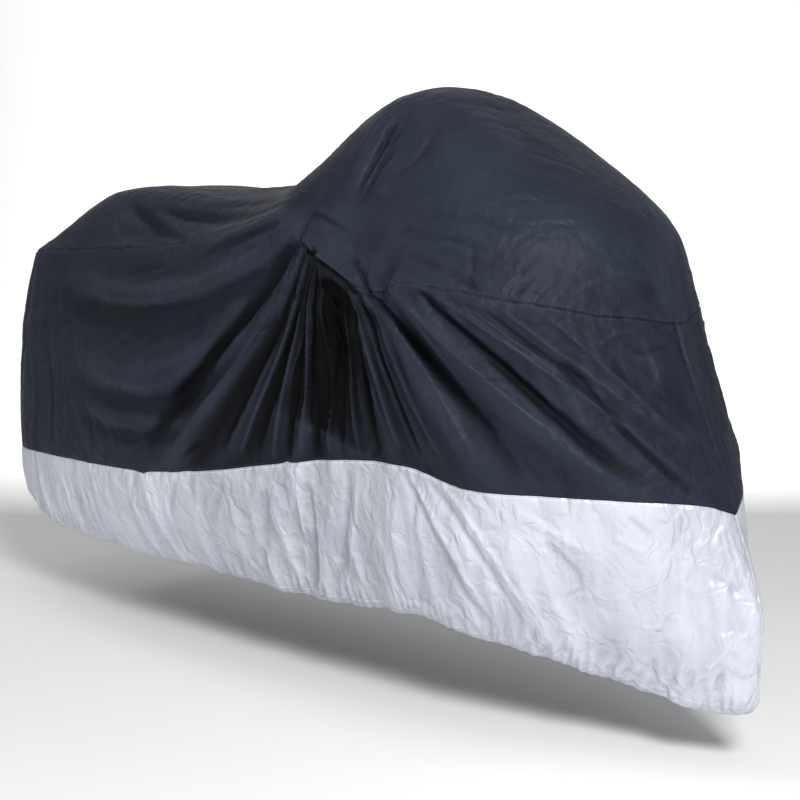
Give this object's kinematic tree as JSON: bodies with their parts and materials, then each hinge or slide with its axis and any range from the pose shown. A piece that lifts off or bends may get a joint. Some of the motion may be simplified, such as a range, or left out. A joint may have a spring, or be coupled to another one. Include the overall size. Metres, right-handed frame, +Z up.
{
  "type": "motorcycle cover",
  "caption": "Two-tone fitted outdoor cover for a large touring motorcycle: thin draped cloth, hollow and open below, with folds and an elastic hem.",
  "frame": {"origin": "inside of the crown of the hood, where the cover is held up by what it covers", "axes": "+X to the nose, +Y to the left side, +Z up"},
  "size_m": [2.65, 0.9461, 1.4816],
  "materials": {
    "black_cloth": "satin, coated polyester",
    "silver_cloth": "satin, aluminium-coated polyester"
  },
  "bodies": {
    "root": {"top_panel": "black_cloth", "side_right": "black_cloth", "side_left": "black_cloth", "skirt_right": "silver_cloth", "skirt_left": "silver_cloth"}
  },
  "joints": []
}
